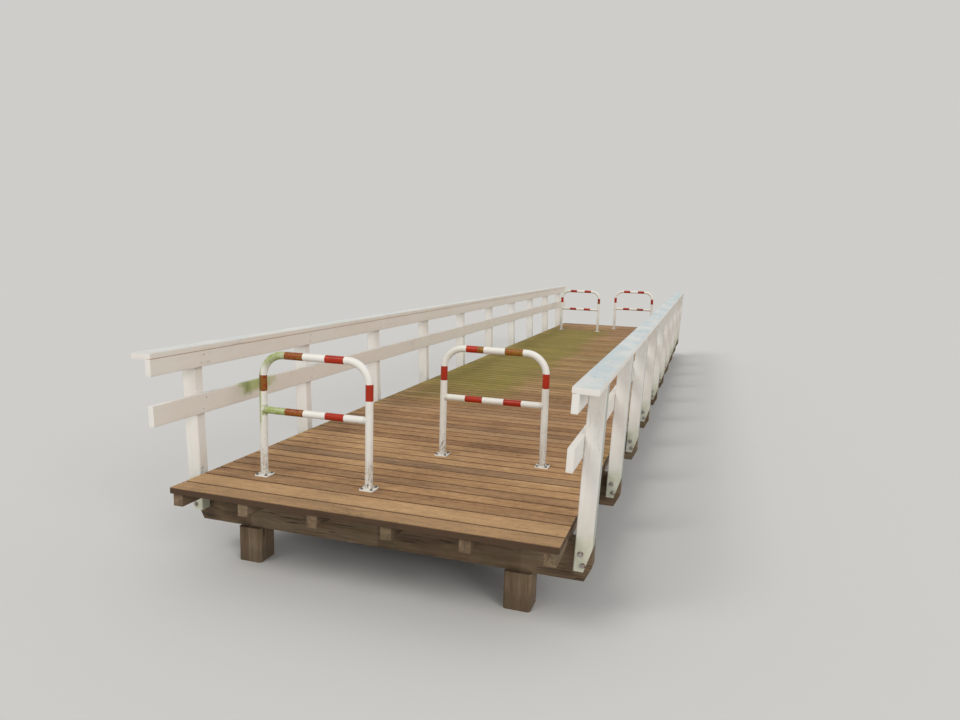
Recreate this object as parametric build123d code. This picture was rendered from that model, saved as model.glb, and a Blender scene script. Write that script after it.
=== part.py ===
from build123d import *
import math
import os

# Timber footbridge on pile bents, in millimetres.
# +Y runs along the bridge, +X to the right of someone walking along it, +Z up.
# The origin is under the middle of the whole bridge, at the level of the pile feet.

# Deck
deck_length = 15200
deck_width = 2940
board_thickness = 45
board_width = 145
board_gap = 11
board_edge = 3
board_run_count = 4
end_board_widths = (162, 207, 173)

# Stringers that carry the boards
stringer_depth = 95
stringer_width = 80
stringer_edge_inset = 20
inner_stringer_count = 4
stringer_end_inset = 12
stringer_joint_gap = 2

# Bents: a cross beam on two piles behind each pair of posts
bent_count = 10
first_post_inset = 380
last_post_inset = 415
cross_beam_depth = 280
cross_beam_thickness = 120
cross_beam_end_inset = 17
cross_beam_corner_width = 50
cross_beam_corner_height = 100
pile_width = 200
pile_arris = 15
pile_inset = 510
pile_length = 280

# Railing posts, leaning outwards
post_width = 120
post_depth = 95
post_clearance = 37
post_lean = 2.1
post_below_deck = 310
post_arris = 6
foot_cut_width = 50
foot_cut_height = 175

# Rails, all three fixed to the leaning posts
railing_height = 1018
cap_thickness = 45
cap_inner_overhang = 5
cap_outer_overhang = 0
cap_arris = 5
rail_thickness = 45
rail_arris = 3
top_rail_height = 125
mid_rail_height = 155
mid_rail_top = 635
rail_near_overhang_left = 120
rail_near_overhang_right = -10
rail_far_inset = 30
rail_joint_gap = 2
rail_joint_posts = (1, 4, 7)
stringer_joint_bents = (3, 6)

# Hoop barriers bolted to the deck
hoop_height = 1000
hoop_width = 975
tube_diameter = 60
hoop_bend_radius = 180
hoop_bar_height = 530
hoop_bar_diameter = 56
tube_sides = 24
foot_plate_size = 115
foot_plate_thickness = 10
foot_plate_corner = 12
hoop_near_left = (-560, 530)
hoop_near_right = (530, 1630)
hoop_far_left = (-755, 1780)
hoop_far_right = (460, 900)

# Levels and places that follow from the sizes above
cross_beam_bottom = pile_length
stringer_bottom = cross_beam_bottom + cross_beam_depth
board_bottom = stringer_bottom + stringer_depth
deck_top = board_bottom + board_thickness
rail_near_overhang = max(rail_near_overhang_left, rail_near_overhang_right, 0)
deck_near_y = (rail_near_overhang - deck_length) / 2
deck_far_y = deck_near_y + deck_length
post_inner_x = deck_width / 2 + post_clearance
post_top = railing_height - cap_thickness
cross_beam_half_length = post_inner_x + post_width - cross_beam_end_inset
bent_spacing = (deck_length - first_post_inset - post_depth - last_post_inset) / (bent_count - 1)


def export(shape, name):
    export_step(shape, f"parts/{name}.step")


def block(low, high):
    """A box between two corners."""
    size = [h - l for l, h in zip(low, high)]
    return Pos(*low) * Box(*size, align=(Align.MIN, Align.MIN, Align.MIN))


def post_y(index):
    """Near face of a post, counted from 0 at the near end."""
    return deck_near_y + first_post_inset + index * bent_spacing


def bent_y(index):
    """Middle of the cross beam that stands against the far face of a post."""
    return post_y(index) + post_depth + cross_beam_thickness / 2


def on_side(shape, side):
    """Lean a railing piece outwards and put it on the right (1) or left (-1) side.

    The piece is drawn on the right side with x outwards from the post's inner face,
    y along the bridge and z up from the deck's surface.
    """
    placed = Pos(post_inner_x, 0, deck_top) * Rot(0, post_lean, 0) * shape
    if side < 0:
        placed = mirror(placed, about=Plane.YZ)
    return placed


def long_board(x_low, x_high, z_low, z_high, y_low, y_high, arris):
    """A board along Y with its four long edges eased."""
    section = Pos((x_low + x_high) / 2, (z_low + z_high) / 2) * Rectangle(x_high - x_low, z_high - z_low)
    section = chamfer(section.vertices(), arris)
    return Pos(0, y_low, 0) * extrude(Plane.XZ * section, -(y_high - y_low))


def lengths(y_low, y_high, joints, gap):
    """Split a long run into the lengths that its boards come in."""
    cuts = [y for y in joints if y_low < y < y_high]
    starts = [y_low] + [y + gap / 2 for y in cuts]
    ends = [y - gap / 2 for y in cuts] + [y_high]
    return list(zip(starts, ends))


def make_post(index, side):
    """Post with eased vertical edges and its outer corner cut off at the foot."""
    outline = Polyline(
        (0, -post_below_deck),
        (post_width - foot_cut_width, -post_below_deck),
        (post_width, foot_cut_height - post_below_deck),
        (post_width, post_top),
        (0, post_top),
        close=True,
    )
    body = extrude(Plane.XZ * make_face(outline), -post_depth)
    upright = body.edges().filter_by(Axis.Z)
    body = chamfer(upright, post_arris)
    return on_side(Pos(0, post_y(index), 0) * body, side)


def rail_run(side):
    """Where a side's rails start and end, cut to lengths at some of the posts."""
    overhang = rail_near_overhang_right if side > 0 else rail_near_overhang_left
    joints = [post_y(i) + post_depth / 2 for i in rail_joint_posts]
    return lengths(deck_near_y - overhang, deck_far_y - rail_far_inset, joints, rail_joint_gap)


def make_rail(x_low, x_high, z_low, z_high, arris, side):
    return [
        on_side(long_board(x_low, x_high, z_low, z_high, start, end, arris), side)
        for start, end in rail_run(side)
    ]


def make_cap(side):
    return make_rail(
        -rail_thickness - cap_inner_overhang,
        post_width + cap_outer_overhang,
        post_top,
        railing_height,
        cap_arris,
        side,
    )


def make_top_rail(side):
    return make_rail(-rail_thickness, 0, post_top - top_rail_height, post_top, rail_arris, side)


def make_mid_rail(side):
    return make_rail(-rail_thickness, 0, mid_rail_top - mid_rail_height, mid_rail_top, rail_arris, side)


def board_places():
    """Start and width of every deck board.

    As many ordinary boards as fit lie between the odd widths at the two ends,
    and the gaps share what is left over.
    """
    end_gaps = 2 * len(end_board_widths) - 1
    main_run = deck_length - 2 * sum(end_board_widths) - end_gaps * board_gap
    main_count = round(main_run / (board_width + board_gap))
    widths = [*end_board_widths, *[board_width] * main_count, *reversed(end_board_widths)]
    gap = (deck_length - sum(widths)) / (len(widths) - 1)
    places = []
    y = deck_near_y
    for width in widths:
        places.append((y, width))
        y += width + gap
    return places


def make_board(y, width):
    """Deck board across the bridge, with its two long top edges eased."""
    board = block(
        (-deck_width / 2, y, board_bottom),
        (deck_width / 2, y + width, deck_top),
    )
    top_edges = board.edges().filter_by(Axis.X).group_by(Axis.Z)[-1]
    return chamfer(top_edges, board_edge)


def make_stringer(x):
    """One line of stringers, in lengths that meet over cross beams."""
    joints = [bent_y(i) for i in stringer_joint_bents]
    runs = lengths(
        deck_near_y + stringer_end_inset,
        deck_far_y - stringer_end_inset,
        joints,
        stringer_joint_gap,
    )
    return [
        block((x - stringer_width / 2, start, stringer_bottom), (x + stringer_width / 2, end, board_bottom))
        for start, end in runs
    ]


def make_cross_beam(index):
    """Cross beam with its lower end corners cut off."""
    half = cross_beam_half_length
    cut = half - cross_beam_corner_width
    outline = Polyline(
        (-cut, cross_beam_bottom),
        (cut, cross_beam_bottom),
        (half, cross_beam_bottom + cross_beam_corner_height),
        (half, stringer_bottom),
        (-half, stringer_bottom),
        (-half, cross_beam_bottom + cross_beam_corner_height),
        close=True,
    )
    beam = extrude(Plane.XZ * make_face(outline), -cross_beam_thickness)
    return Pos(0, bent_y(index) - cross_beam_thickness / 2, 0) * beam


def make_pile(index, side):
    """Square pile with eased corners, centred under the cross beam."""
    section = Rectangle(pile_width, pile_width)
    section = chamfer(section.vertices(), pile_arris)
    foot = Pos(side * (cross_beam_half_length - pile_inset), bent_y(index), 0)
    return foot * extrude(section, pile_length)


def tube_section(diameter):
    """A tube's outline, drawn with flats so that the bends stay light."""
    return RegularPolygon(diameter / 2, tube_sides)


def make_hoop(x, y):
    """Bent tube with a cross bar, on two square foot plates."""
    half = (hoop_width - tube_diameter) / 2
    top = hoop_height - tube_diameter / 2
    path = FilletPolyline(
        (-half, 0, foot_plate_thickness),
        (-half, 0, top),
        (half, 0, top),
        (half, 0, foot_plate_thickness),
        radius=hoop_bend_radius,
    )
    hoop = sweep(Pos(-half, 0, foot_plate_thickness) * tube_section(tube_diameter), path)
    bar = extrude(Plane.YZ * tube_section(hoop_bar_diameter), half, both=True)
    hoop += Pos(0, 0, hoop_bar_height) * bar
    outline = Rectangle(foot_plate_size, foot_plate_size)
    outline = chamfer(outline.vertices(), foot_plate_corner)
    for foot in (-half, half):
        hoop += Pos(foot, 0, 0) * extrude(outline, foot_plate_thickness)
    return Pos(x, y, deck_top) * hoop


os.makedirs("parts", exist_ok=True)

for side, side_name in ((-1, "left"), (1, "right")):
    for index in range(bent_count):
        export(make_post(index, side), f"post_{side_name}_{index + 1}")
    export(Compound(make_cap(side)), f"handrail_cap_{side_name}")
    export(Compound(make_top_rail(side)), f"top_rail_{side_name}")
    export(Compound(make_mid_rail(side)), f"mid_rail_{side_name}")
    piles = [make_pile(index, side) for index in range(bent_count)]
    export(Compound(piles), f"piles_{side_name}")
    edge_x = deck_width / 2 - stringer_edge_inset - stringer_width / 2
    export(Compound(make_stringer(side * edge_x)), f"edge_stringer_{side_name}")

inner_spacing = 2 * edge_x / (inner_stringer_count + 1)
inner_stringers = []
for index in range(inner_stringer_count):
    inner_stringers += make_stringer(-edge_x + (index + 1) * inner_spacing)
export(Compound(inner_stringers), "inner_stringers")

cross_beams = [make_cross_beam(index) for index in range(bent_count)]
export(Compound(cross_beams), "cross_beams")

boards = [make_board(y, width) for y, width in board_places()]
end_count = len(end_board_widths)
export(Compound(boards[:end_count]), "deck_boards_near_end")
export(Compound(boards[-end_count:]), "deck_boards_far_end")
main_boards = boards[end_count:-end_count]
run_size = math.ceil(len(main_boards) / board_run_count)
for run in range(board_run_count):
    members = main_boards[run * run_size:(run + 1) * run_size]
    export(Compound(members), f"deck_boards_{run + 1}")

hoop_places = {
    "near_left": (hoop_near_left[0], deck_near_y + hoop_near_left[1]),
    "near_right": (hoop_near_right[0], deck_near_y + hoop_near_right[1]),
    "far_left": (hoop_far_left[0], deck_far_y - hoop_far_left[1]),
    "far_right": (hoop_far_right[0], deck_far_y - hoop_far_right[1]),
}
for name, (x, y) in hoop_places.items():
    export(make_hoop(x, y), f"hoop_barrier_{name}")
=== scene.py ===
import bmesh
import bpy
import math
from mathutils import Matrix, Vector


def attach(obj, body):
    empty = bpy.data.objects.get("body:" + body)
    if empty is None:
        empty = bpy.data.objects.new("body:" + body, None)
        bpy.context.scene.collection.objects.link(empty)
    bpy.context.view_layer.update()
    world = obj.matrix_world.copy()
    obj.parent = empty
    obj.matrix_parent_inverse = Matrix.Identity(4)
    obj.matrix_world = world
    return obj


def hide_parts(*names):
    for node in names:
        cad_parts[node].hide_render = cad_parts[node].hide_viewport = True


# Looks of a white-railed timber footbridge with tube hoop barriers, in metres.
# +Y runs along the bridge, +X to the right, +Z up; the deck's surface is at deckTop.

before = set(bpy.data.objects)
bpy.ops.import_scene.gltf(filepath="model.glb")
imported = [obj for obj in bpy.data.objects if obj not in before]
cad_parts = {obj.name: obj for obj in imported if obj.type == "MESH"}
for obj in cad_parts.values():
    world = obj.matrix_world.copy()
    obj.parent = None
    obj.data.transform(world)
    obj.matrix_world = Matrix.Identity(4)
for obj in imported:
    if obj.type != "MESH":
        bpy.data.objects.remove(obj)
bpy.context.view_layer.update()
bpy.ops.object.select_all(action="DESELECT")

# Measures of the bridge that looks and fixings follow

deckTop = 0.70
deckNear = -7.54
deckFar = 7.66
boardWidth = 0.145
boardCount = 90  # between the odd widths at the two ends
endWidths = (0.162, 0.207, 0.173)
gapCount = boardCount + 2 * len(endWidths) - 1
boardGap = (deckFar - deckNear - 2 * sum(endWidths) - boardCount * boardWidth) / gapCount
boardPitch = boardWidth + boardGap
boardFirst = deckNear + sum(endWidths) + len(endWidths) * boardGap
stringerFirst = -1.41
stringerSpacing = 0.564
stringerLines = 6
screwInset = 0.032  # from a board's long edges to its screws

postCount = 10
postFirst = -7.16
postPitch = 1.59
postWide = 0.12
postDeep = 0.095
postInner = 1.507  # the posts' inner faces, level with the deck
lean = math.radians(2.1)
beamThick = 0.12

# Rails: heights above the deck and places across from the posts' inner faces, along the lean
railLevels = {"cap": (0.973, 1.018), "top": (0.848, 0.973), "mid": (0.480, 0.635)}
railSpans = {"cap": (-0.05, 0.12), "top": (-0.045, 0.0), "mid": (-0.045, 0.0)}
railJoints = (-5.522, -0.752, 4.018)


# Shader tools

class Wire:  # one socket; sums and products written with it add their Math nodes
    def __init__(self, tree, socket):
        self.tree = tree
        self.socket = socket

    def node(self, kind, settings=None, inputs=None, output=0):
        made = self.tree.nodes.new("ShaderNode" + kind)
        for key, value in (settings or {}).items():
            if key == "stops":
                points = made.color_ramp.elements
                while len(points) < len(value):
                    points.new(0.5)
                for point, (place, colour) in zip(points, value):
                    point.position = place
                    point.color = (*colour, 1)
            else:
                setattr(made, key, value)
        for key, value in (inputs or {}).items():
            if isinstance(value, Wire):
                self.tree.links.new(value.socket, made.inputs[key])
            else:
                made.inputs[key].default_value = value
        return Wire(self.tree, made.outputs[output])

    def maths(self, operation, *values):
        return self.node("Math", {"operation": operation}, dict(enumerate(values)))

    def __add__(self, other):
        return self.maths("ADD", self, other)

    def __sub__(self, other):
        return self.maths("SUBTRACT", self, other)

    def __rsub__(self, other):
        return self.maths("SUBTRACT", other, self)

    def __mul__(self, other):
        return self.maths("MULTIPLY", self, other)

    def __truediv__(self, other):
        return self.maths("DIVIDE", self, other)

    def __abs__(self):
        return self.maths("ABSOLUTE", self)

    __radd__ = __add__
    __rmul__ = __mul__

    def floor(self):
        return self.maths("FLOOR", self)

    def least(self, other):
        return self.maths("MINIMUM", self, other)

    def most(self, other):
        return self.maths("MAXIMUM", self, other)

    def step(self, low, high):  # 0 below low, 1 above high, smooth between
        return self.node("MapRange", {"interpolation_type": "SMOOTHSTEP"},
                         {0: self, 1: low, 2: high, 3: 0.0, 4: 1.0})

    def band(self, low, high, soft):  # 1 between two values
        return self.step(low - soft, low + soft) * (1 - self.step(high - soft, high + soft))

    def noise(self, scale, detail=3.0, rough=0.55, twist=0.0):
        return self.node("TexNoise", {}, {"Vector": self, "Scale": scale, "Detail": detail,
                                          "Roughness": rough, "Distortion": twist})

    def cells(self, scale):  # distance to the nearest of many scattered points
        return self.node("TexVoronoi", {"feature": "F1"}, {"Vector": self, "Scale": scale})

    def chance(self):  # a fixed random number for each whole number
        return self.node("TexWhiteNoise", {"noise_dimensions": "1D"}, {"W": self})

    def ramp(self, stops):
        return self.node("ValToRGB", {"stops": stops}, {0: self})

    def parts(self):  # x, y and z of a vector
        made = self.node("SeparateXYZ", {}, {0: self}).socket.node
        return [Wire(self.tree, socket) for socket in made.outputs]


def vector(x, y, z):
    some = next(v for v in (x, y, z) if isinstance(v, Wire))
    return some.node("CombineXYZ", {}, {0: x, 1: y, 2: z})


def blend(amount, low, high):  # low where amount is 0, high where it is 1
    inputs = {0: amount}
    for socket, colour in ((6, low), (7, high)):  # the Mix node's own numbers for its colours
        inputs[socket] = colour if isinstance(colour, Wire) else (*colour, 1)
    return amount.node("Mix", {"data_type": "RGBA", "clamp_factor": True}, inputs, 2)


def newMaterial(name):
    material = bpy.data.materials.new(name)
    material.use_nodes = True
    tree = material.node_tree
    tree.nodes.clear()
    shader = tree.nodes.new("ShaderNodeBsdfPrincipled")
    output = tree.nodes.new("ShaderNodeOutputMaterial")
    tree.links.new(shader.outputs[0], output.inputs[0])
    place = Wire(tree, tree.nodes.new("ShaderNodeTexCoord").outputs["Object"])
    return material, shader, place


def setShader(shader, colour, roughness, height=None, depth=0.001, metallic=None, fixed=None):
    tree = shader.id_data
    tree.links.new(colour.socket, shader.inputs["Base Color"])
    tree.links.new(roughness.socket, shader.inputs["Roughness"])
    if metallic is not None:
        tree.links.new(metallic.socket, shader.inputs["Metallic"])
    if height is not None:
        bump = height.node("Bump", {}, {"Strength": 1.0, "Distance": depth, "Height": height})
        tree.links.new(bump.socket, shader.inputs["Normal"])
    for key, value in (fixed or {}).items():
        shader.inputs[key].default_value = value


# Deck boards: worn timber, greener on the left half

def endBoards(first, widths):  # where each of a row of boards starts and ends
    rows = []
    for width in widths:
        rows.append((first, first + width))
        first += width + boardGap
    return rows


nearBoards = endBoards(deckNear, endWidths)
farBoards = endBoards(boardFirst + boardCount * boardPitch, endWidths[::-1])
deckLook = {
    "dark": (0.105, 0.050, 0.022),
    "brown": (0.240, 0.122, 0.052),
    "tan": (0.395, 0.222, 0.098),
    "pale": (0.600, 0.385, 0.195),
    "grey": (0.260, 0.185, 0.115),
    "sand": (0.580, 0.410, 0.220),
    "algae": (0.150, 0.150, 0.016),
    "moss": (0.255, 0.232, 0.034),
    "gapDirt": (0.026, 0.014, 0.008),
    # painted shade and damp for the boards' sides and undersides
    "damp": (0.056, 0.032, 0.018),
    "patchAcross": (-1.55, -0.10),  # the green patch, and what spills out of it
    "patchAlong": (-3.3, 6.3),
    "spillAcross": (-0.2, 0.75),
    "spillAlong": (-2.6, 3.6),
    "borderAcross": (1.34, 1.50),  # thin growth by the deck's edges
    "borderAlong": (-6.6, -5.4),
    "sandAlong": (deckNear + 0.12, deckNear + 0.75),
    # painted shade and dirt along the boards' long edges
    "edgeShadeAndDirt": (0.002, 0.010),
    "screwStain": (0.004, 0.016),
    "surface": (deckTop - 0.0045, deckTop - 0.0010),
    "relief": 0.0022,
}


def boardSpace(y, boards):  # a number for each board, and how far its nearer long edge is
    if boards:
        index = y * 0 + boards[0][0] * 10
        fromEdge = y * 0 + 9  # far off, before the edges are measured
        for low, high in boards:
            index = index + y.step(low - 0.002, low - 0.001)
            fromEdge = fromEdge.least(abs(y - low)).least(abs(y - high))
        return index, fromEdge
    along = (y - boardFirst) / boardPitch
    index = along.floor()
    part = (along - index) * boardPitch
    return index, part.least(boardWidth - part)


def screwDistance(x, fromEdge):  # how far the nearest deck screw is
    line = (x - stringerFirst) / stringerSpacing + 0.5
    across = (line - line.floor() - 0.5) * stringerSpacing
    along = fromEdge - screwInset
    return (across * across + along * along).maths("SQRT")


def deckGreen(x, y, z):  # how green the deck is: the patch with its spill, and the border
    look = deckLook
    drift = vector(x * 1.3 + 5, y * 0.8, z).noise(1.0, 5.0, 0.65) - 0.5
    along = y + drift * 2.4
    patch = (x + drift * 0.9).band(*look["patchAcross"], 0.30)
    patch = patch * along.band(*look["patchAlong"], 0.9)
    spill = (x + drift * 1.5).band(*look["spillAcross"], 0.3)
    spill = spill * along.band(*look["spillAlong"], 1.0) * 0.30
    detail = vector(x * 6, y * 11, z).noise(1.0, 5.0, 0.7).step(0.25, 0.65)
    green = patch.most(spill) * (0.55 + detail * 0.45)
    border = (abs(x) + drift * 0.16).step(*look["borderAcross"])
    border = border * y.step(*look["borderAlong"]) * 0.30
    return green, border


def deckWood(name, boards=None):  # boards gives the odd widths at an end
    look = deckLook
    material, shader, place = newMaterial(name)
    x, y, z = place.parts()
    index, fromEdge = boardSpace(y, boards)
    luck = (index * 3.17).chance()
    greyed = (index * 1.73 + 40).chance().step(0.60, 1.0)
    shift = luck * 31  # each board gets a grain of its own

    def marks(along, across, wave=0):  # coordinates for marks that run along the board
        return vector(x * along + shift, y * across + wave, z * across)

    slow = marks(0.9, 5, shift).noise(1.0, 3.0)
    grain = marks(3.2, 62, slow * 4).noise(1.0, 5.0, 0.62, 0.4)
    fibre = marks(24, 520).noise(1.0, 3.0, 0.6)
    speck = vector(x * 130, y * 160, z * 160).noise(1.0, 3.0, 0.6)
    rings = (marks(1.1, 17, slow * 2.2).noise(1.0, 1.0) * 26).maths("SINE")
    wear = vector(x * 1.7, y * 1.5, z).noise(1.0, 4.0, 0.6)
    mottle = vector(x * 16, y * 30, z * 30).noise(1.0, 4.0, 0.65)
    tone = 0.5 + (grain - 0.5) * 0.80 + (fibre - 0.5) * 0.45 + (speck - 0.5) * 0.42 + rings * 0.045
    tone = tone + (luck - 0.5) * 0.26 + (wear - 0.5) * 0.46 + (mottle - 0.5) * 0.50
    colour = tone.ramp([(0.14, look["dark"]), (0.36, look["brown"]),
                        (0.58, look["tan"]), (0.88, look["pale"])])
    colour = blend(greyed * 0.35, colour, look["grey"])

    knot = 1 - vector(x * 1.2 + shift, y * 2.4 + shift, z * 0).cells(1.0).step(0.020, 0.050)
    colour = blend(knot * 0.60, colour, look["dark"])
    crackLine = abs(marks(1.8, 80).noise(1.0, 2.0) - 0.5)
    cracked = vector(x * 1.3, y * 9 + shift, z).noise(1.0).step(0.55, 0.64)
    crack = (1 - crackLine.step(0.003, 0.012)) * cracked
    colour = blend(crack * 0.70, colour, look["gapDirt"])
    stain = vector(x * 3.1, y * 4.3, z).noise(1.0, 5.0, 0.65, 0.5)
    colour = blend(stain.step(0.58, 0.74) * 0.22, colour, look["dark"])
    sandy = 1 - (y + (wear - 0.5) * 0.8).step(*look["sandAlong"])  # grit on the first boards
    colour = blend(sandy * speck.step(0.35, 0.62) * 0.50, colour, look["sand"])
    screwed = 1 - screwDistance(x, fromEdge).step(*look["screwStain"])
    colour = blend(screwed * 0.45, colour, look["gapDirt"])

    green, border = deckGreen(x, y, z)
    growth = blend(grain * 0.7 + speck * 0.5, look["algae"], look["moss"])
    colour = blend(green * 0.84 + border * (1 - green), colour, growth)
    # painted shade along the gaps at the boards' long edges, with some dirt
    colour = blend((1 - fromEdge.step(*look["edgeShadeAndDirt"])) * 0.60, colour, look["dark"])
    shadeAndDampBelow = 1 - z.step(*look["surface"])  # the boards' sides and undersides: painted shade in the gaps and under the deck, with damp
    colour = blend(shadeAndDampBelow * 0.90, colour, look["damp"])
    rough = 0.62 + grain * 0.20 + green * 0.10
    height = grain * 0.5 + rings * 0.08 + fibre * 0.30 + speck * 0.20 - crack * 1.6 + knot * 0.2
    setShader(shader, colour, rough, height, look["relief"], fixed={"Specular IOR Level": 0.28})
    return material


# Railing: weathered white paint on posts, caps and rails

paintLook = {
    "white": (0.775, 0.760, 0.728),
    "cream": (0.695, 0.618, 0.530),
    # painted sky reflection and shade on the caps' tops
    "reflectedSkyBlue": (0.500, 0.590, 0.615),
    # painted shade for the outer faces, partly weathering
    "shadeAndWeathering": (0.225, 0.262, 0.228),
    "wood": (0.330, 0.245, 0.165),
    "grime": (0.430, 0.395, 0.315),
    "algae": (0.340, 0.385, 0.170),
    "moss": (0.330, 0.400, 0.080),
    "deepMoss": (0.120, 0.165, 0.016),
    "seam": (0.460, 0.250, 0.110),
    "crack": (0.300, 0.250, 0.190),
    "splash": (0.200, 0.190, 0.160),
    "grainSizes": (38, 1.6),  # how fine it is across and along the timber
    "fibreSizes": (280, 9),
    "chippedEdge": (0.001, 0.007),
    "innerFace": (-0.046, -0.040),
    "outerFace": (0.1155, 0.119),
    "capSurface": (1.012, 1.0172),
    "seamUp": 0.9735,
    "postFoot": (0.0, 0.30),
    "dampUp": (-0.16, 0.02),
    "splashUp": (0.03, 0.13),
    "mossAlong": (-6.66, -6.22),
    "mossUp": (0.515, 0.575),
    "deepMossAlong": (-6.61, -6.54),
    "deepMossUp": (0.50, 0.56),
    "relief": 0.0011,
}


def railingSpace(x, z):  # places across and up that lean with the railing
    side = abs(x) - postInner
    above = z - deckTop
    out = side * math.cos(lean) - above * math.sin(lean)  # from the posts' inner faces, outwards
    up = side * math.sin(lean) + above * math.cos(lean)  # from the deck, along the posts
    return out, up


def postSpace(out, y, up, which):  # post number, nearest edge, grain and fibre places, foot
    across, along = paintLook["grainSizes"]
    fineAcross, fineAlong = paintLook["fibreSizes"]
    index = ((y - postFirst) / postPitch + 0.5).floor()
    part = y - postFirst - index * postPitch
    fromEdge = out.least(postWide - out).most(part.least(postDeep - part))
    grainPlace = vector(out * across, y * across, up * along + which)
    fibrePlace = vector(out * fineAcross, y * fineAcross, up * fineAlong)
    low = 1 - up.step(*paintLook["postFoot"])
    return index, fromEdge, grainPlace, fibrePlace, low


def railSpace(kind, out, y, up, which):  # the same for caps and rails, with their lower edge
    across, along = paintLook["grainSizes"]
    fineAcross, fineAlong = paintLook["fibreSizes"]
    inner, outer = railSpans[kind]
    bottom, top = railLevels[kind]
    index = sum(y.step(joint - 0.001, joint) for joint in railJoints)
    fromEdge = (out - inner).least(outer - out).most((up - bottom).least(top - up))
    grainPlace = vector(out * across, y * along + which, up * across)
    fibrePlace = vector(out * fineAcross, y * fineAlong, up * fineAcross)
    low = (1 - up.step(bottom, bottom + 0.03)) * 0.4
    return index, fromEdge, grainPlace, fibrePlace, low


def capSkyReflection(colour, x, y, z, up):  # painted sky reflection and shade: a bluish, darker top on the caps, in patches, more on the right
    patchy = vector(x * 5, y * 2.2, z).noise(1.0, 4.0, 0.6).step(0.38, 0.62) * 0.55 + 0.42
    amount = up.step(*paintLook["capSurface"]) * patchy * (0.55 + x.step(-0.1, 0.1) * 0.45)
    return blend(amount, colour, paintLook["reflectedSkyBlue"])


def splashedPost(colour, place, out, up):  # dirt that rain splashes up, on the inner faces
    splash = (1 - out.step(0.003, 0.016)) * (1 - up.step(*paintLook["splashUp"]))
    splash = splash * up.step(-0.03, 0.0) * place.noise(23.0, 5.0, 0.7).step(0.50, 0.64)
    return blend(splash * 0.50, colour, paintLook["splash"])


def rustySeam(colour, out, up, dirt):  # rusty dirt in the joint under the cap
    seam = 1 - abs(up - paintLook["seamUp"]).step(0.0008, 0.0042)
    seam = seam * (1 - out.step(-0.03, -0.01))
    return blend(seam * (0.40 + dirt * 0.6), colour, paintLook["seam"])


def mossyRail(colour, x, y, out, up, dirt):  # green growth behind the first hoop, on the left
    look = paintLook
    wander = (dirt - 0.5) * 0.35
    onLeft = 1 - x.step(-1.6, -1.2)
    onLeft = onLeft * (1 - out.step(-0.012, -0.002) * 0.70)  # thin on the outer face
    film = (y + wander).band(*look["mossAlong"], 0.12) * (up - wander * 0.2).step(*look["mossUp"])
    colour = blend(film * onLeft * (0.62 + dirt * 0.6), colour, look["moss"])
    deep = (y + wander * 0.3).band(*look["deepMossAlong"], 0.05)
    deep = deep * (up - wander * 0.3).step(*look["deepMossUp"])
    return blend(deep * onLeft * (0.42 + dirt * 0.8), colour, look["deepMoss"])


def whitePaint(name, kind):  # kind is post, cap, top or mid
    look = paintLook
    material, shader, place = newMaterial(name)
    x, y, z = place.parts()
    out, up = railingSpace(x, z)
    which = x.step(-0.1, 0.1) * 17  # sets the two sides apart
    if kind == "post":
        index, fromEdge, grainPlace, fibrePlace, low = postSpace(out, y, up, which)
    else:
        index, fromEdge, grainPlace, fibrePlace, low = railSpace(kind, out, y, up, which)
    luck = (index * 2.31 + which).chance()
    grain = grainPlace.noise(1.0, 4.0, 0.6, 0.3)
    fibre = fibrePlace.noise(1.0, 3.0, 0.6)
    cloud = place.noise(1.7, 4.0, 0.6)
    dirt = place.noise(9.0, 5.0, 0.65)
    colour = blend((cloud - 0.36) * 1.5 + (luck - 0.5) * 0.35, look["white"], look["cream"])
    if kind != "post":  # the rails' inner faces are warmer: painted warm light bounced from the deck
        colour = blend((1 - out.step(*look["innerFace"])) * 0.55, colour, look["cream"])
    if kind == "cap":
        # painted sky reflection and shade on the caps' tops
        colour = capSkyReflection(colour, x, y, z, up)
    grimy = dirt.step(0.52, 0.80) * 0.16 + grain.step(0.52, 0.80) * 0.14
    colour = blend(grimy, colour, look["grime"])

    chips = place.noise(42.0, 4.0, 0.6)
    edge = 1 - fromEdge.step(*look["chippedEdge"])
    bare = (edge * 0.15 + chips).step(0.745, 0.785) * cloud.step(0.44, 0.54)
    crackLine = abs(grainPlace.noise(1.7, 2.0) - 0.5)
    crack = (1 - crackLine.step(0.002, 0.008)) * (place.noise(3.0) + low * 0.10).step(0.60, 0.67)
    colour = blend(crack * 0.40, colour, look["crack"])
    colour = blend(low * (dirt * 0.9 + 0.1) * 0.42, colour, look["grime"])
    colour = blend(bare * 0.70, colour, look["wood"])

    if kind == "post":
        colour = splashedPost(colour, place, out, up)
    if kind in ("cap", "top"):
        colour = rustySeam(colour, out, up, dirt)
    if kind != "cap":  # the outer faces are greyer: painted shade, partly weathering
        colour = blend(out.step(*look["outerFace"]) * (0.40 + cloud * 0.45), colour, look["shadeAndWeathering"])
    damp = (1 - up.step(*look["dampUp"])) * (0.35 + dirt.step(0.30, 0.66) * 0.65)
    colour = blend(damp * 0.50, colour, look["algae"])
    if kind == "mid":
        colour = mossyRail(colour, x, y, out, up, dirt)
    rough = 0.40 + dirt * 0.20 + bare * 0.28 + low * 0.10
    height = grain * 0.30 + fibre * 0.16 - crack * 1.0 - bare * 0.9
    setShader(shader, colour, rough, height, look["relief"], fixed={"Specular IOR Level": 0.42})
    return material


# Beams, stringers and piles: bare timber under the deck

frameLook = {
    "dark": (0.062, 0.040, 0.025),
    "brown": (0.175, 0.115, 0.068),
    "grey": (0.300, 0.235, 0.165),
    "algae": (0.095, 0.105, 0.040),
    "crack": (0.026, 0.017, 0.011),
    "wetUp": (0.05, 0.20),
    "relief": 0.0030,
}


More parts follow.
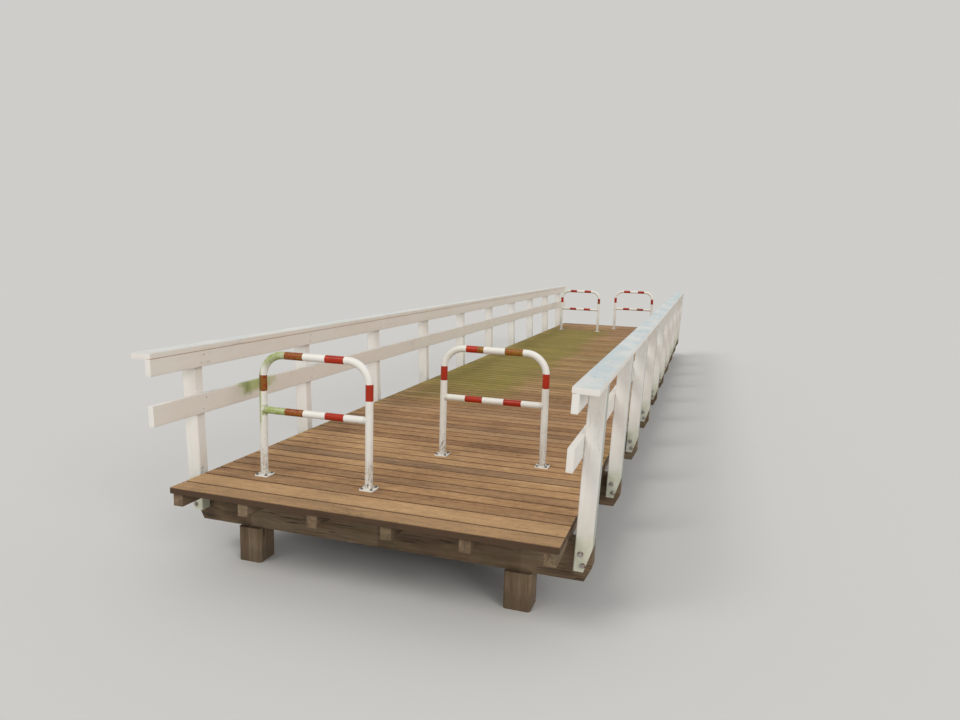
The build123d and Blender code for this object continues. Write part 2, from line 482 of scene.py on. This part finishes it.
def frameWood(name, grainAxis):
    look = frameLook
    material, shader, place = newMaterial(name)
    x, y, z = place.parts()

    def marks(along, across, wave=0):  # coordinates for marks that run with the grain
        sizes = [along if axis == grainAxis else across for axis in range(3)]
        return vector(x * sizes[0] + wave, y * sizes[1] + wave, z * sizes[2] + wave)

    body = place.noise(1.3, 4.0, 0.6)
    luck = ((x * 0.9).floor() + (y / postPitch).floor() * 3).chance()
    grain = marks(1.1, 15, body).noise(1.0, 5.0, 0.62, 0.3)
    fibre = marks(12, 190).noise(1.0, 3.0, 0.6)
    crackLine = abs(marks(0.55, 17, luck * 9).noise(1.0, 2.0) - 0.5)
    cracked = marks(2.0, 7, luck * 5).noise(1.0).step(0.50, 0.60)
    crack = (1 - crackLine.step(0.003, 0.013)) * cracked
    tone = 0.5 + (grain - 0.5) * 0.70 + (fibre - 0.5) * 0.30
    tone = tone + (luck - 0.5) * 0.14 + (body - 0.5) * 0.5
    colour = tone.ramp([(0.24, look["dark"]), (0.50, look["brown"]), (0.82, look["grey"])])
    colour = blend(crack * 0.8, colour, look["crack"])
    wet = 1 - (z + (body - 0.5) * 0.10).step(*look["wetUp"])
    growth = place.noise(7.0, 4.0, 0.6).step(0.45, 0.68)
    colour = blend(growth * (0.25 + wet * 0.5), colour, look["algae"])
    colour = blend(wet * 0.45, colour, look["dark"])
    rough = 0.84 - wet * 0.30 - growth * 0.05
    height = grain * 0.6 + fibre * 0.25 - crack * 2.0
    setShader(shader, colour, rough, height, look["relief"], fixed={"Specular IOR Level": 0.30})
    return material


def paintNodes():
    alongBridge = frameWood("frame_wood_along", 1)
    paints = {  # by how a node's name starts, the first that fits
        "post_": whitePaint("white_paint_posts", "post"),
        "handrail_cap": whitePaint("white_paint_cap", "cap"),
        "top_rail": whitePaint("white_paint_top", "top"),
        "mid_rail": whitePaint("white_paint_mid", "mid"),
        "deck_boards_near_end": deckWood("deck_wood_near_end", nearBoards),
        "deck_boards_far_end": deckWood("deck_wood_far_end", farBoards),
        "deck_boards": deckWood("deck_wood"),
        "cross_beams": frameWood("frame_wood_across", 0),
        "edge_stringer": alongBridge,
        "inner_stringers": alongBridge,
        "piles": frameWood("frame_wood_upright", 2),
    }
    for name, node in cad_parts.items():
        material = next((paint for start, paint in paints.items() if name.startswith(start)), None)
        if material is None:
            continue  # the hoops are replaced
        if node.data.materials:
            for i in range(len(node.data.materials)):
                node.data.materials[i] = material
        else:
            node.data.materials.append(material)


paintNodes()
print("materials on the CAD nodes are set")


# Hoops and fixings: painted tube and zinc-plated steel

steelLook = {
    "white": (0.755, 0.745, 0.705),
    "cream": (0.660, 0.610, 0.520),
    "red": (0.425, 0.021, 0.002),
    "deepRed": (0.275, 0.018, 0.004),
    "rust": (0.170, 0.062, 0.024),
    "brownBand": (0.215, 0.042, 0.006),
    "ochreBand": (0.275, 0.145, 0.012),
    "burnt": (0.050, 0.022, 0.010),
    "primer": (0.125, 0.112, 0.098),
    "algae": (0.275, 0.340, 0.085),
    "deepAlgae": (0.075, 0.085, 0.014),
    "grime": (0.285, 0.230, 0.160),
    "legBand": (0.681, 0.806),  # red bands: heights on the legs, places across on bar and top
    "barBand": (0.095, 0.253),
    "legsFrom": (0.400, 0.402),
    "bendAcross": (-0.24, -0.10),  # green growth: left bend, left end of the bar, left leg
    "bendUp": (0.87, 0.97),
    "barEndAcross": (-0.402, -0.13),
    "barEndUp": (0.49, 0.57),
    "legAcross": (-0.470, -0.446),
    "legUp": (0.55, 1.12),
    "plateUp": (0.0095, 0.0115),  # foot plates, rusty feet of the legs, weld beads
    "footUp": (0.02, 0.42),
    "footWeldUp": (0.0115, 0.0175),
    "barWeldAcross": (0.415, 0.437),
    "barWeldUp": (0.50, 0.56),
    "relief": 0.0008,
}


def hoopBands(place, across, above):  # 1 on the red bands
    look = steelLook
    wobble = (place.noise(60.0, 2.0) - 0.5) * 0.005
    beside = abs(across).step(*look["legsFrom"])
    legs = beside * (above + wobble).band(*look["legBand"], 0.0008)
    bars = (1 - beside) * (abs(across) + wobble).band(*look["barBand"], 0.0008)
    return legs + bars


def hoopGrowth(across, above, blotch):  # how green the tube is, and where on its left leg
    look = steelLook
    ragged = across + blotch * 0.10
    bend = (1 - ragged.step(*look["bendAcross"])) * (above + blotch * 0.06).step(*look["bendUp"])
    barEnd = ragged.band(*look["barEndAcross"], 0.018) * above.band(*look["barEndUp"], 0.01)
    legSide = 1 - across.step(*look["legAcross"])
    legSide = legSide * (above + blotch * 0.30).band(*look["legUp"], 0.10)
    growth = (bend * 0.95).most(barEnd).most(legSide * 0.90)
    growth = growth * (0.62 + blotch.step(0.30, 0.60) * 0.38)
    return growth, legSide


def bandTone(place, across, above, noises, browned, ochre):  # red, and brown where it has turned
    look = steelLook
    cloud, blotch, fine = noises
    tone = blend(cloud.step(0.35, 0.70), look["red"], look["deepRed"])
    faded = across * 0
    for low, high, levels in browned:
        faded = faded + across.band(low, high, 0.006) * above.band(*levels, 0.006)
    flaked = place.noise(55.0, 4.0, 0.65).step(0.40, 0.60)
    brown = blend(flaked * 0.80 + ochre * (0.4 + blotch), look["brownBand"], look["ochreBand"])
    tone = blend(faded * (0.62 + flaked * 0.40), tone, brown)
    return blend(fine.step(0.50, 0.68) * (faded * 0.45 + 0.20), tone, look["burnt"])


def hoopPaint(name, centre, browned=(), green=0.0, ochre=0.0):
    look = steelLook
    material, shader, place = newMaterial(name)
    x, y, z = place.parts()
    across = x - centre[0]
    above = z - deckTop
    red = hoopBands(place, across, above)
    cloud = place.noise(7.0, 4.0, 0.6)
    blotch = place.noise(26.0, 5.0, 0.65)
    fine = place.noise(120.0, 3.0, 0.6)
    speck = vector(x * 140, y * 140, z * 55).noise(1.0, 2.0)
    growth, legSide = hoopGrowth(across, above, blotch)
    colour = blend((cloud - 0.35) * 1.2, look["white"], look["cream"])
    colour = blend(growth * green, colour, look["algae"])
    redTone = bandTone(place, across, above, (cloud, blotch, fine), browned, ochre)
    colour = blend(red, colour, redTone)
    colour = blend(red * legSide * green * 0.60, colour, look["deepAlgae"])

    onPlate = 1 - above.step(*look["plateUp"])
    foot = (1 - above.step(*look["footUp"])) * (1 - onPlate * 0.75)
    barWelds = abs(across).band(*look["barWeldAcross"], 0.006)
    barWelds = barWelds * above.band(*look["barWeldUp"], 0.006)
    welds = above.band(*look["footWeldUp"], 0.002).most(barWelds)
    pit = (speck + foot * 0.15 + (blotch - 0.5) * 0.30).step(0.740, 0.760)
    chip = (blotch + foot * 0.06 + welds * 0.07 + red * 0.03).step(0.725, 0.740)
    colour = blend(chip.most(pit) * 0.85, colour, look["primer"])
    rust = (blotch + foot * 0.06 + welds * 0.10 + (fine - 0.5) * 0.12).step(0.735, 0.780)
    rust = rust.most((speck + foot * 0.09).step(0.770, 0.800))
    colour = blend(rust * 0.90, colour, look["rust"])
    streak = vector(x * 70, y * 70, z * 6).noise(1.0, 3.0, 0.6)
    dirty = foot * (cloud.step(0.35, 0.65) * 0.22 + streak.step(0.46, 0.66) * 0.38) + welds * 0.25
    colour = blend(dirty, colour, look["grime"])
    rough = 0.30 + cloud * 0.16 + rust * 0.45 + foot * 0.10
    height = cloud * 0.05 + fine * 0.08 - chip * 0.25 - pit * 0.2 + red * 0.15
    gloss = {"Coat Weight": 0.05, "Coat Roughness": 0.14, "Specular IOR Level": 0.26}
    setShader(shader, colour, rough, height, look["relief"], fixed=gloss)
    return material


def zincSteel(name, base, rustFrom, metal):  # rusty where its noise is above rustFrom
    material, shader, place = newMaterial(name)
    fine = place.noise(300.0, 3.0, 0.6)
    rust = place.noise(40.0, 4.0, 0.65).step(rustFrom - 0.08, rustFrom + 0.05)
    colour = blend(fine, tuple(c * 0.75 for c in base), base)
    colour = blend(rust * 0.85, colour, steelLook["rust"])
    setShader(shader, colour, 0.42 + rust * 0.40, fine, 0.0004, metallic=metal - rust * metal * 0.9)
    return material


# Modelling tools

mergeDistance = 0.00005
smoothAngle = math.radians(35)


def only(obj):
    bpy.ops.object.select_all(action="DESELECT")
    obj.select_set(True)
    bpy.context.view_layer.objects.active = obj


def openNew():  # the new primitive, its place put into the mesh, in edit mode with all selected
    made = bpy.context.view_layer.objects.active
    bpy.ops.object.transform_apply(location=True, rotation=True, scale=True)
    bpy.ops.object.mode_set(mode="EDIT")
    bpy.ops.mesh.select_all(action="SELECT")
    return made


def closeEdit():
    bpy.ops.object.mode_set(mode="OBJECT")


def pick(obj, kind, test):  # select faces or edges in edit mode by their middle and direction
    bpy.ops.mesh.select_all(action="DESELECT")
    shape = bmesh.from_edit_mesh(obj.data)
    for item in getattr(shape, kind):
        if kind == "faces":
            chosen = test(item.calc_center_median(), item.normal)
        else:
            a, b = (v.co for v in item.verts)
            chosen = test((a + b) / 2, (b - a).normalized())
        if chosen:
            item.select_set(True)
    bmesh.update_edit_mesh(obj.data)


def pointsUp(mid, way):
    return way.z > 0.9


def settle(obj, name=None):  # place into the mesh, doubles merged, faces outwards
    only(obj)
    bpy.ops.object.transform_apply(location=True, rotation=True, scale=True)
    bpy.ops.object.mode_set(mode="EDIT")
    bpy.ops.mesh.select_all(action="SELECT")
    bpy.ops.mesh.remove_doubles(threshold=mergeDistance)
    bpy.ops.mesh.normals_make_consistent(inside=False)
    closeEdit()
    if name:
        obj.name = name
        obj.data.name = name
    return obj


def joined(parts, name):
    only(parts[0])
    for part in parts[1:]:
        part.select_set(True)
    bpy.ops.object.join()
    made = bpy.context.view_layer.objects.active
    made.name = name
    made.data.name = name
    return made


def copied(obj, shift):
    only(obj)
    bpy.ops.object.duplicate()
    new = bpy.context.view_layer.objects.active
    new.location = shift
    bpy.ops.object.transform_apply(location=True, rotation=False, scale=False)
    return new


def repeated(obj, count, shift):
    only(obj)
    array = obj.modifiers.new("repeat", "ARRAY")
    array.count = count
    array.use_relative_offset = False
    array.use_constant_offset = True
    array.constant_offset_displace = shift
    bpy.ops.object.modifier_apply(modifier=array.name)
    return obj


def dress(obj, material):
    only(obj)
    bpy.ops.object.shade_smooth_by_angle(angle=smoothAngle)
    obj.data.materials.clear()
    obj.data.materials.append(material)
    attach(obj, "root")


# Bolt and screw heads, axis +Z, seat at 0

boltShape = {
    "washerSides": 20,
    "washerThick": 0.0025,
    "washerArris": 0.0006,
    "headChamfer": 0.14,
}
screwShape = {
    "recessInset": 0.55,
    "recessDepth": 0.7,
}


def hexBolt(name, radius, high, washer):  # hexagon head on a washer
    b = boltShape
    thick = b["washerThick"]
    bpy.ops.mesh.primitive_cylinder_add(vertices=b["washerSides"], radius=washer, depth=thick,
                                        location=(0, 0, thick / 2))
    ring = openNew()
    pick(ring, "faces", pointsUp)
    bpy.ops.mesh.bevel(offset=b["washerArris"], segments=1, affect="EDGES")
    closeEdit()
    bpy.ops.mesh.primitive_cylinder_add(vertices=6, radius=radius, depth=high,
                                        location=(0, 0, thick + high / 2))
    head = openNew()
    pick(head, "faces", pointsUp)
    bpy.ops.mesh.inset(thickness=radius * b["headChamfer"], depth=0.0)
    bpy.ops.transform.translate(value=(0, 0, high * b["headChamfer"]))
    closeEdit()
    return settle(joined([ring, head], name))


def screwHead(name, radius, high, sides):  # flat head with a sunk recess
    s = screwShape
    bpy.ops.mesh.primitive_cylinder_add(vertices=sides, radius=radius, depth=high,
                                        location=(0, 0, high / 2))
    head = openNew()
    pick(head, "faces", pointsUp)
    bpy.ops.mesh.inset(thickness=radius * s["recessInset"], depth=0.0)
    bpy.ops.transform.translate(value=(0, 0, -high * s["recessDepth"]))
    closeEdit()
    return settle(head, name)


# Hoop barriers: bent tube, cross bar, welded foot plates with bolts

hoop = {
    "width": 0.975,
    "height": 1.0,
    "radius": 0.030,
    "bend": 0.18,
    "sides": 32,
    "bendSteps": 14,
    "sunk": 0.001,  # the legs start inside the plates
    "weld": 0.006,
    "weldShoulder": 0.62,  # the bead's width after its first rise
    "weldRise": (0.002, 0.0045),
    "barHeight": 0.53,
    "barRadius": 0.028,
    "barSunk": 0.014,  # the bar ends inside the legs
    "barWeld": 0.004,
    "barWeldLong": 0.010,
    "barWeldSunk": 0.002,
    "plate": 0.115,
    "plateThick": 0.010,
    "corner": 0.012,
    "cornerSteps": 5,
    "arris": 0.0012,
    "bolt": {"radius": 0.0088, "high": 0.0072, "washer": 0.0125},
    "boltInset": 0.018,
    "boltZinc": {"base": (0.200, 0.190, 0.175), "rustFrom": 0.60, "metal": 0.40},
}
hoopPlaces = {
    "near_left": (-0.56, deckNear + 0.53),
    "near_right": (0.53, deckNear + 1.63),
    "far_left": (-0.755, deckFar - 1.78),
    "far_right": (0.46, deckFar - 0.90),
}
onTop = (0.93, 1.01)  # heights of the bands that have gone brown
onBar = (0.48, 0.58)
onLeg = (0.66, 0.83)
onLegTop = (0.66, 0.74)
hoopWear = {  # browned: from where to where across the hoop, and the heights
    "near_left": {
        "browned": [(-0.30, -0.05, onTop), (-0.30, -0.05, onBar), (-0.50, -0.40, onLeg)],
        "green": 1.0,
    },
    "near_right": {
        "browned": [(0.05, 0.30, onTop), (-0.150, -0.05, onTop)],
        "green": 0.12,
        "ochre": 0.6,
    },
    "far_left": {"browned": [(0.40, 0.50, onLegTop)], "green": 0.25},
    "far_right": {"browned": [(0.05, 0.18, onBar)], "green": 0.0},
}
legOut = hoop["width"] / 2 - hoop["radius"]  # from the hoop's middle to the middle of a leg


def pushRing(shift, size=None, centre=None):  # extrude the open rim and scale the new one
    bpy.ops.mesh.extrude_edges_move(TRANSFORM_OT_translate={"value": shift})
    if size:
        bpy.ops.transform.resize(value=size, center_override=centre)


def bendTube(x, z):  # a quarter turn of the open rim about a bend's centre
    bpy.ops.mesh.spin(steps=hoop["bendSteps"], angle=math.radians(-90), axis=(0, 1, 0),
                      center=(x, 0, z))


def closeEnds(obj, atEnd):  # a face over each open end
    pick(obj, "edges", atEnd)
    bpy.ops.mesh.edge_face_add()
    closeEdit()
    return obj


def hoopTube():
    h = hoop
    foot = h["plateThick"] - h["sunk"]
    top = h["height"] - h["radius"]
    shoulder = h["radius"] + h["weld"] * h["weldShoulder"]
    wide = h["radius"] + h["weld"]
    lowRise, highRise = h["weldRise"]
    straight = top - h["bend"] - foot - lowRise - highRise
    left = (-legOut, 0, foot)
    right = (legOut, 0, foot)
    bpy.ops.mesh.primitive_circle_add(vertices=h["sides"], radius=wide, location=left)
    tube = openNew()
    pushRing((0, 0, lowRise), (shoulder / wide, shoulder / wide, 1), left)
    pushRing((0, 0, highRise), (h["radius"] / shoulder, h["radius"] / shoulder, 1), left)
    pushRing((0, 0, straight))
    bendTube(-legOut + h["bend"], top - h["bend"])
    pushRing((2 * (legOut - h["bend"]), 0, 0))
    bendTube(legOut - h["bend"], top - h["bend"])
    pushRing((0, 0, -straight))
    pushRing((0, 0, -highRise), (shoulder / h["radius"], shoulder / h["radius"], 1), right)
    pushRing((0, 0, -lowRise), (wide / shoulder, wide / shoulder, 1), right)
    return closeEnds(tube, lambda mid, way: abs(mid.z - foot) < 0.0001)


def hoopBar():
    h = hoop
    wide = h["barRadius"] + h["barWeld"]
    ratio = h["barRadius"] / wide
    end = legOut - h["radius"] + h["barSunk"]
    bead = legOut - h["radius"] + h["barWeldSunk"]
    middle = (0, 0, h["barHeight"])
    bpy.ops.mesh.primitive_circle_add(vertices=h["sides"], radius=wide,
                                      rotation=(0, math.radians(90), 0),
                                      location=(-end, 0, h["barHeight"]))
    bar = openNew()
    pushRing((end - bead, 0, 0))
    pushRing((h["barWeldLong"], 0, 0), (1, ratio, ratio), middle)
    pushRing((2 * (bead - h["barWeldLong"]), 0, 0))
    pushRing((h["barWeldLong"], 0, 0), (1, 1 / ratio, 1 / ratio), middle)
    pushRing((end - bead, 0, 0))
    return closeEnds(bar, lambda mid, way: abs(abs(mid.x) - end) < 0.0001)


def footPlate(x):
    h = hoop
    size = h["plate"]
    thick = h["plateThick"]
    bpy.ops.mesh.primitive_cube_add(size=1, location=(x, 0, thick / 2), scale=(size, size, thick))
    plate = openNew()
    pick(plate, "edges", lambda mid, way: abs(way.z) > 0.9)
    bpy.ops.mesh.bevel(offset=h["corner"], segments=h["cornerSteps"], affect="EDGES")
    pick(plate, "faces", pointsUp)
    bpy.ops.mesh.region_to_loop()
    bpy.ops.mesh.bevel(offset=h["arris"], segments=2, affect="EDGES")
    closeEdit()
    return plate


def hoopBolts(bolt, x, y):  # four on each foot plate of the hoop at this place
    reach = hoop["plate"] / 2 - hoop["boltInset"]
    seat = deckTop + hoop["plateThick"]
    bolts = []
    for foot in (-legOut, legOut):
        for across in (-reach, reach):
            for along in (-reach, reach):
                bolts.append(copied(bolt, (x + foot + across, y + along, seat)))
    return bolts


def hoopBarriers():
    parts = [hoopTube(), hoopBar(), footPlate(-legOut), footPlate(legOut)]
    pattern = settle(joined(parts, "hoop_pattern"))
    bolt = hexBolt("bolt_pattern", **hoop["bolt"])
    bolts = []
    for key, (x, y) in hoopPlaces.items():
        piece = copied(pattern, (x, y, deckTop))
        piece.name = "hoop_" + key
        piece.data.name = piece.name
        dress(piece, hoopPaint("hoop_paint_" + key, (x, y), **hoopWear[key]))
        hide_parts("hoop_barrier_" + key)
        bolts += hoopBolts(bolt, x, y)
    made = joined(bolts, "hoop_bolts")
    dress(made, zincSteel("bolt_zinc", **hoop["boltZinc"]))
    bpy.data.objects.remove(pattern)
    bpy.data.objects.remove(bolt)


hoopBarriers()
print("hoops are built")


# Screws of the deck boards, two on each stringer line

deckScrew = {
    "head": {"radius": 0.0048, "high": 0.0008, "sides": 10},
    "zinc": {"base": (0.34, 0.33, 0.31), "rustFrom": 0.50, "metal": 0.85},
}


def deckScrews():
    pattern = screwHead("screw_pattern", **deckScrew["head"])
    rows = []
    for low, high in nearBoards + farBoards:
        for y in (low + screwInset, high - screwInset):
            rows.append(copied(pattern, (stringerFirst, y, deckTop)))
    for y in (screwInset, boardWidth - screwInset):
        run = copied(pattern, (stringerFirst, boardFirst + y, deckTop))
        rows.append(repeated(run, boardCount, (0, boardPitch, 0)))
    screws = joined(rows, "deck_screws")
    repeated(screws, stringerLines, (stringerSpacing, 0, 0))
    dress(screws, zincSteel("screw_steel", **deckScrew["zinc"]))
    bpy.data.objects.remove(pattern)


deckScrews()
print("deck screws are in")


# Bolts of the posts, screws of the rails and caps

fixings = {
    "bolt": {"radius": 0.0135, "high": 0.010, "washer": 0.021},
    "boltPlaces": ((0.042, -0.185), (0.062, -0.262)),  # across from the inner face, and up
    "boltZinc": {"base": (0.50, 0.49, 0.46), "rustFrom": 0.58, "metal": 0.7},
    "screw": {"radius": 0.0055, "high": 0.0010, "sides": 12},
    "railScrewUp": {"top": (0.880, 0.940), "mid": (0.515, 0.600)},
    "railScrewAlong": (0.030, 0.065),  # from a post's near face
    "capScrewOut": (0.020, 0.085),
    "screwZinc": {"base": (0.62, 0.60, 0.56), "rustFrom": 0.56, "metal": 0.85},
}
upward = Matrix.Identity(4)  # turns of a head whose axis is +Z
towardsNear = Matrix.Rotation(math.radians(90), 4, "X")
towardsFar = Matrix.Rotation(math.radians(-90), 4, "X")
inward = Matrix.Rotation(math.radians(-90), 4, "Y")


def leaned(obj, out, y, up, side, turn):  # a copy on the leaning right (1) or left (-1) railing
    place = Matrix.Translation((postInner, 0, deckTop)) @ Matrix.Rotation(lean, 4, "Y")
    place = place @ Matrix.Translation((out, y, up)) @ turn
    if side < 0:
        place = Matrix.Scale(-1, 4, (1, 0, 0)) @ place
    only(obj)
    bpy.ops.object.duplicate()
    new = bpy.context.view_layer.objects.active
    new.data.transform(place)
    if side < 0:
        new.data.flip_normals()
    return new


def postNearFaces():  # side of the railing and near face of each post
    return [(side, postFirst + index * postPitch) for side in (-1, 1) for index in range(postCount)]


def postBolts():  # through each post and its cross beam
    pattern = hexBolt("post_bolt_pattern", **fixings["bolt"])
    bolts = []
    for side, y in postNearFaces():
        for out, up in fixings["boltPlaces"]:
            bolts.append(leaned(pattern, out, y, up, side, towardsNear))
            bolts.append(leaned(pattern, out, y + postDeep + beamThick, up, side, towardsFar))
    made = joined(bolts, "post_bolts")
    dress(made, zincSteel("post_bolt_zinc", **fixings["boltZinc"]))
    bpy.data.objects.remove(pattern)


def railScrews():  # two in each rail and cap at every post
    pattern = screwHead("rail_screw_pattern", **fixings["screw"])
    capTop = railLevels["cap"][1]
    screws = []
    for side, y in postNearFaces():
        for kind, levels in fixings["railScrewUp"].items():
            for up, along in zip(levels, fixings["railScrewAlong"]):
                screws.append(leaned(pattern, railSpans[kind][0], y + along, up, side, inward))
        for out in fixings["capScrewOut"]:
            screws.append(leaned(pattern, out, y + postDeep / 2, capTop, side, upward))
    made = joined(screws, "rail_screws")
    dress(made, zincSteel("rail_screw_zinc", **fixings["screwZinc"]))
    bpy.data.objects.remove(pattern)


postBolts()
railScrews()
print("bolts and screws of the railing are in")


# Floor, light, background

studio = {
    "floor": (0.60, 0.60, 0.59),
    "floorSize": 600,
    "background": (0.617, 0.611, 0.591),
    "ambient": 0.62,
    "lampAngle": 26,
    "lamps": {
        "sun": {"from": (-4.5, -7.0, 9.5), "strength": 1.15, "colour": (1.0, 0.97, 0.92)},
        "fill": {"from": (9.0, -6.5, 5.5), "strength": 1.00, "colour": (1.0, 0.98, 0.95)},
    },
}


def makeFloor():
    bpy.ops.object.select_all(action="DESELECT")
    bpy.ops.mesh.primitive_plane_add(size=studio["floorSize"], location=(0, 0, 0))
    floor = bpy.context.view_layer.objects.active
    floor.name = "floor"
    material, shader, place = newMaterial("pale_floor")
    darker = tuple(c * 0.97 for c in studio["floor"])
    colour = blend(place.noise(0.4, 3.0) * 0.3, studio["floor"], darker)
    setShader(shader, colour, place.noise(3.0) * 0.1 + 0.8, fixed={"Specular IOR Level": 0.0})
    floor.data.materials.append(material)


def makeWorld():  # even light; the camera and reflections see the background instead
    world = bpy.data.worlds.new("studio")
    bpy.context.scene.world = world
    world.use_nodes = True
    tree = world.node_tree
    tree.nodes.clear()
    rays = tree.nodes.new("ShaderNodeLightPath").outputs
    seen = Wire(tree, rays["Is Camera Ray"])
    for name in ("Is Glossy Ray", "Is Transmission Ray"):
        seen = seen.most(Wire(tree, rays[name]))
    light = seen.node("Background", {},
                      {"Color": (1.0, 1.0, 1.0, 1), "Strength": studio["ambient"]})
    back = seen.node("Background", {}, {"Color": (*studio["background"], 1), "Strength": 1.0})
    mix = seen.node("MixShader", {}, {0: seen, 1: light, 2: back})
    output = tree.nodes.new("ShaderNodeOutputWorld")
    tree.links.new(mix.socket, output.inputs[0])


def makeLamps():
    for name, look in studio["lamps"].items():
        lamp = bpy.data.lights.new(name, "SUN")
        lamp.energy = look["strength"]
        lamp.angle = math.radians(studio["lampAngle"])
        lamp.color = look["colour"]
        holder = bpy.data.objects.new(name, lamp)
        bpy.context.scene.collection.objects.link(holder)
        holder.rotation_euler = (-Vector(look["from"])).to_track_quat("-Z", "Y").to_euler()
        holder.location = look["from"]


makeFloor()
makeWorld()
makeLamps()

# Camera: its turn to the left, down and roll in degrees, its lens and sensor in millimetres

view = {
    "place": (2.2177, -11.654, 2.4713),
    "left": 17.567,
    "down": 8.400,
    "roll": 1.7494,
    "lens": 26.448,
    "sensor": 36,
    "farthest": 400,
}


def makeCamera():
    lens = bpy.data.cameras.new("camera")
    lens.sensor_width = view["sensor"]
    lens.lens = view["lens"]
    lens.clip_end = view["farthest"]
    camera = bpy.data.objects.new("camera", lens)
    bpy.context.scene.collection.objects.link(camera)
    turn = Matrix.Rotation(math.radians(view["left"]), 4, "Z")
    turn = turn @ Matrix.Rotation(math.radians(90 - view["down"]), 4, "X")
    turn = turn @ Matrix.Rotation(math.radians(view["roll"]), 4, "Z")
    camera.matrix_world = Matrix.Translation(view["place"]) @ turn
    bpy.context.scene.camera = camera


makeCamera()
bpy.context.scene.view_settings.view_transform = "Standard"
print("studio and camera are set")
